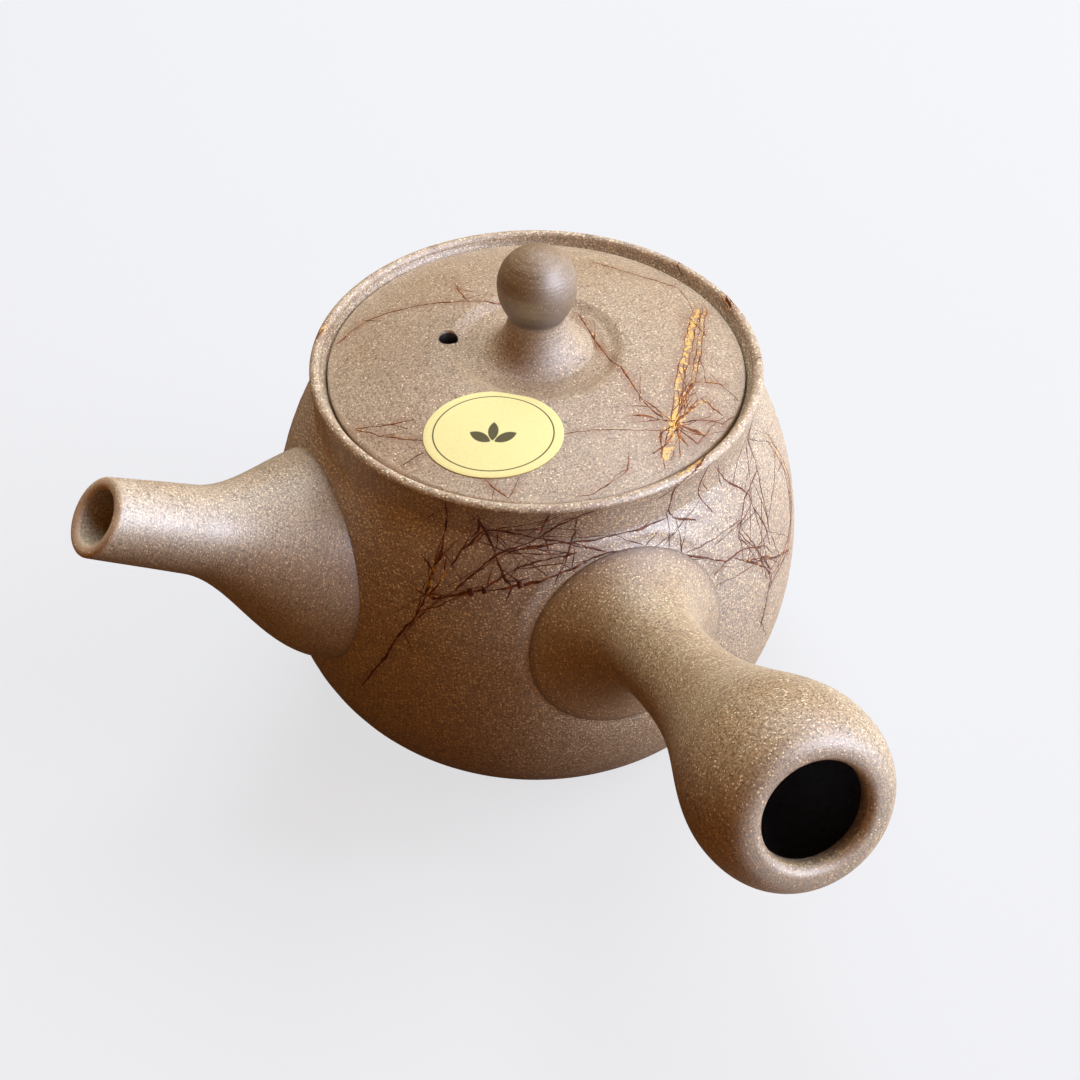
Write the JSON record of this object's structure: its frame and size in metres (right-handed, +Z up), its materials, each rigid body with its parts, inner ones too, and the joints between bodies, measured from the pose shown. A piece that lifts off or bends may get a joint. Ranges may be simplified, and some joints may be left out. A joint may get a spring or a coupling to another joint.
{
  "type": "side-handled teapot",
  "caption": "Unglazed stoneware teapot with a flared spout, a hollow side handle, a built-in strainer and a loose inset lid with a ball knob, for brewing and pouring tea.",
  "frame": {"origin": "centre of the flat base, on the pot's turning axis", "axes": "+Z up along the turning axis, -X towards the spout, the handle close to -Y"},
  "size_m": [0.1449, 0.1725, 0.101],
  "materials": {
    "stoneware": "unglazed reduction-fired stoneware, satin, fine pale specks, red-brown and gold ash traces",
    "stoneware_spout": "unglazed stoneware, satin, fine pale specks",
    "stoneware_handle": "unglazed stoneware, satin, fine pale specks, warm blotches at the end",
    "stoneware_strainer": "unglazed stoneware, matt, pierced",
    "stoneware_lid": "unglazed stoneware, satin, fine pale specks, red-brown and gold ash traces",
    "stoneware_knob": "unglazed stoneware, burnished satin",
    "label_paper": "pale gold foil paper with a thin printed ring"
  },
  "bodies": {
    "pot": {"body": "stoneware", "spout": "stoneware_spout", "handle": "stoneware_handle", "strainer": "stoneware_strainer"},
    "lid": {"lid": "stoneware_lid", "knob": "stoneware_knob", "label": "label_paper"}
  },
  "joints": [
    {"name": "lid_lift", "type": "slide", "parent": "pot", "child": "lid", "axis": [0, 0, 1], "range_m": [0, 0.06]}
  ]
}
